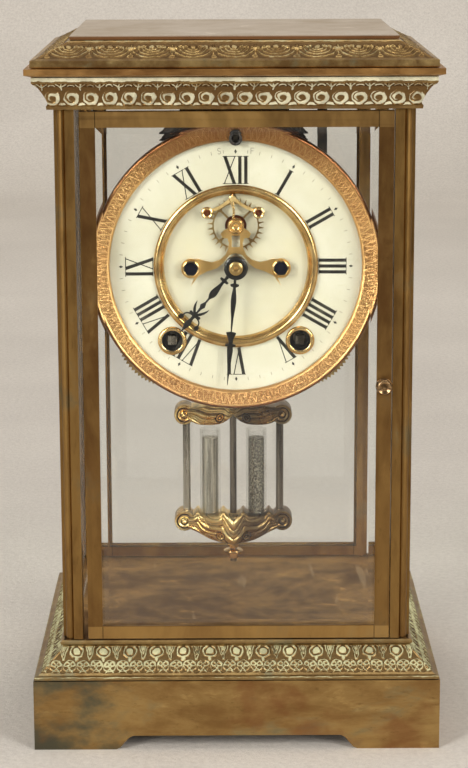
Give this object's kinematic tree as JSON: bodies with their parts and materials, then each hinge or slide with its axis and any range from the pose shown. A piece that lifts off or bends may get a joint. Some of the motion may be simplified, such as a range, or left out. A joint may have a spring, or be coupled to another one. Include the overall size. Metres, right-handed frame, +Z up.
{
  "type": "regulator clock",
  "caption": "Brass four-glass regulator clock with hinged glazed doors, an open-escapement porcelain dial, a time and strike movement, a coiled gong and a twin-tube compensated pendulum.",
  "frame": {"origin": "on the ground under the middle of the base", "axes": "+Z up, -Y towards the front with the dial, +X to the right as seen from the front"},
  "size_m": [0.1608, 0.1428, 0.28],
  "materials": {
    "aged_brass": "aged, brown and gold, with patina in the ornament",
    "dark_floor": "dark brown, dull",
    "glass": "clear, bevelled",
    "copper_gilt": "copper-toned gilt, engraved",
    "porcelain": "cream, glossy",
    "gilt": "gilt, satin",
    "clock_brass": "polished",
    "blued_black": "blued nearly black",
    "steel": "polished",
    "black_iron": "black, matt",
    "quicksilver": "liquid metal, bright"
  },
  "bodies": {
    "case": {"plinth": "aged_brass", "base_moulding": "aged_brass", "floor_plate": "dark_floor", "pillar_front_left": "aged_brass", "pillar_front_right": "aged_brass", "pillar_rear_left": "aged_brass", "pillar_rear_right": "aged_brass", "top_plate": "dark_floor", "cornice_moulding": "aged_brass", "cap_slab": "aged_brass", "cap_moulding": "aged_brass", "top_panel": "aged_brass", "side_glass_left": "glass", "side_glass_right": "glass", "bezel": "copper_gilt", "chapter_ring": "porcelain", "dial_centre": "porcelain", "sight_ring": "gilt", "dial_pan": "clock_brass", "winding_grommet_left": "gilt", "winding_grommet_right": "gilt", "movement_hanger": "black_iron", "front_plate": "clock_brass", "back_plate": "clock_brass", "suspension_cock": "clock_brass", "escapement_bridge": "gilt", "bridge_screw_left": "blued_black", "bridge_screw_right": "blued_black", "gong_post": "black_iron", "gong_coil": "steel"},
    "front_door": {"front_door_frame": "aged_brass", "front_door_glass": "glass"},
    "front_door_knob": {"front_door_knob": "aged_brass"},
    "rear_door": {"rear_door_frame": "aged_brass", "rear_door_glass": "glass"},
    "rear_door_knob": {"rear_door_knob": "aged_brass"},
    "hour_hand": {"hour_hand": "blued_black"},
    "minute_hand": {"minute_hand": "blued_black", "centre_wheel": "clock_brass"},
    "second_wheel": {"second_wheel": "clock_brass"},
    "time_barrel": {"time_barrel": "clock_brass"},
    "time_winding_arbor": {"time_winding_arbor": "steel"},
    "third_wheel": {"third_wheel": "clock_brass"},
    "escape_wheel": {"escape_wheel": "clock_brass"},
    "anchor": {"anchor": "clock_brass"},
    "strike_barrel": {"strike_barrel": "clock_brass"},
    "strike_winding_arbor": {"strike_winding_arbor": "steel"},
    "strike_pin_wheel": {"strike_pin_wheel": "clock_brass"},
    "hammer": {"hammer": "steel"},
    "regulator_arbor": {"regulator_arbor": "steel"},
    "pendulum": {"pendulum_rod": "steel", "pendulum_upper_bracket": "gilt", "pendulum_lower_bracket": "gilt", "pendulum_side_rod_left": "steel", "pendulum_side_rod_right": "steel", "pendulum_tube_left": "glass", "pendulum_tube_right": "glass", "mercury_column_left": "quicksilver", "mercury_column_right": "quicksilver"},
    "rating_nut": {"rating_nut": "gilt"}
  },
  "joints": [
    {"name": "front_door_hinge", "type": "hinge", "parent": "case", "child": "front_door", "pos_m": [-0.05655, -0.0574, 0.147], "axis": [0, 0, -1], "range_deg": [0, 110]},
    {"name": "rear_door_hinge", "type": "hinge", "parent": "case", "child": "rear_door", "pos_m": [0.05655, 0.0574, 0.147], "axis": [0, 0, -1], "range_deg": [0, 110]},
    {"name": "front_knob_turn", "type": "hinge", "parent": "front_door", "child": "front_door_knob", "pos_m": [0.05775, -0.058, 0.145], "axis": [0, 1, 0], "range_deg": [0, 90]},
    {"name": "rear_knob_turn", "type": "hinge", "parent": "rear_door", "child": "rear_door_knob", "pos_m": [-0.05775, 0.058, 0.145], "axis": [0, -1, 0], "range_deg": [0, 90]},
    {"name": "minute_spin", "type": "hinge", "parent": "case", "child": "minute_hand", "pos_m": [0.0003, 0, 0.19074], "axis": [0, 1, 0], "continuous": true},
    {"name": "hour_spin", "type": "hinge", "parent": "case", "child": "hour_hand", "pos_m": [0.0003, 0, 0.19074], "axis": [0, 1, 0], "continuous": true},
    {"name": "second_wheel_spin", "type": "hinge", "parent": "case", "child": "second_wheel", "pos_m": [-0.01861, 0, 0.18715], "axis": [0, 1, 0], "continuous": true},
    {"name": "time_barrel_spin", "type": "hinge", "parent": "case", "child": "time_barrel", "pos_m": [-0.0247, 0, 0.16144], "axis": [0, 1, 0], "continuous": true},
    {"name": "third_wheel_spin", "type": "hinge", "parent": "case", "child": "third_wheel", "pos_m": [0.01182, 0, 0.20148], "axis": [0, 1, 0], "continuous": true},
    {"name": "escape_wheel_spin", "type": "hinge", "parent": "case", "child": "escape_wheel", "pos_m": [0.0003, 0, 0.2066], "axis": [0, 1, 0], "continuous": true},
    {"name": "time_winding", "type": "hinge", "parent": "case", "child": "time_winding_arbor", "pos_m": [-0.0247, 0, 0.16144], "axis": [0, 1, 0], "continuous": true},
    {"name": "strike_winding", "type": "hinge", "parent": "case", "child": "strike_winding_arbor", "pos_m": [0.0253, 0, 0.16144], "axis": [0, 1, 0], "continuous": true},
    {"name": "strike_barrel_spin", "type": "hinge", "parent": "case", "child": "strike_barrel", "pos_m": [0.0253, 0, 0.16144], "axis": [0, 1, 0], "continuous": true},
    {"name": "strike_wheel_spin", "type": "hinge", "parent": "case", "child": "strike_pin_wheel", "pos_m": [0.01921, 0, 0.18715], "axis": [0, 1, 0], "continuous": true},
    {"name": "hammer_lift", "type": "hinge", "parent": "case", "child": "hammer", "pos_m": [0.0348, 0, 0.19674], "axis": [0, 1, 0], "range_deg": [-8, 0], "stiffness_Nm_per_rad": 0.01},
    {"name": "regulator_turn", "type": "hinge", "parent": "case", "child": "regulator_arbor", "pos_m": [0.0003, 0, 0.24074], "axis": [0, 1, 0], "range_deg": [-180, 180]},
    {"name": "pendulum_swing", "type": "hinge", "parent": "case", "child": "pendulum", "pos_m": [-0.0008, 0.017, 0.21734], "axis": [0, 1, 0], "range_deg": [-4, 4]},
    {"name": "anchor_rock", "type": "hinge", "parent": "case", "child": "anchor", "pos_m": [-0.0008, 0, 0.21734], "axis": [0, 1, 0], "range_deg": [-4, 4]},
    {"name": "rating_nut_turn", "type": "hinge", "parent": "pendulum", "child": "rating_nut", "pos_m": [-0.0008, 0.017, 0.055], "axis": [0, 0, 1], "continuous": true}
  ],
  "couplings": [
    {"joint": "hour_spin", "follows": "minute_spin", "ratio": 0.083333},
    {"joint": "second_wheel_spin", "follows": "minute_spin", "ratio": -0.16667},
    {"joint": "time_barrel_spin", "follows": "minute_spin", "ratio": 0.027778},
    {"joint": "third_wheel_spin", "follows": "minute_spin", "ratio": -6},
    {"joint": "escape_wheel_spin", "follows": "minute_spin", "ratio": 36},
    {"joint": "strike_barrel_spin", "follows": "strike_wheel_spin", "ratio": -0.16667},
    {"joint": "anchor_rock", "follows": "pendulum_swing", "ratio": 1}
  ]
}
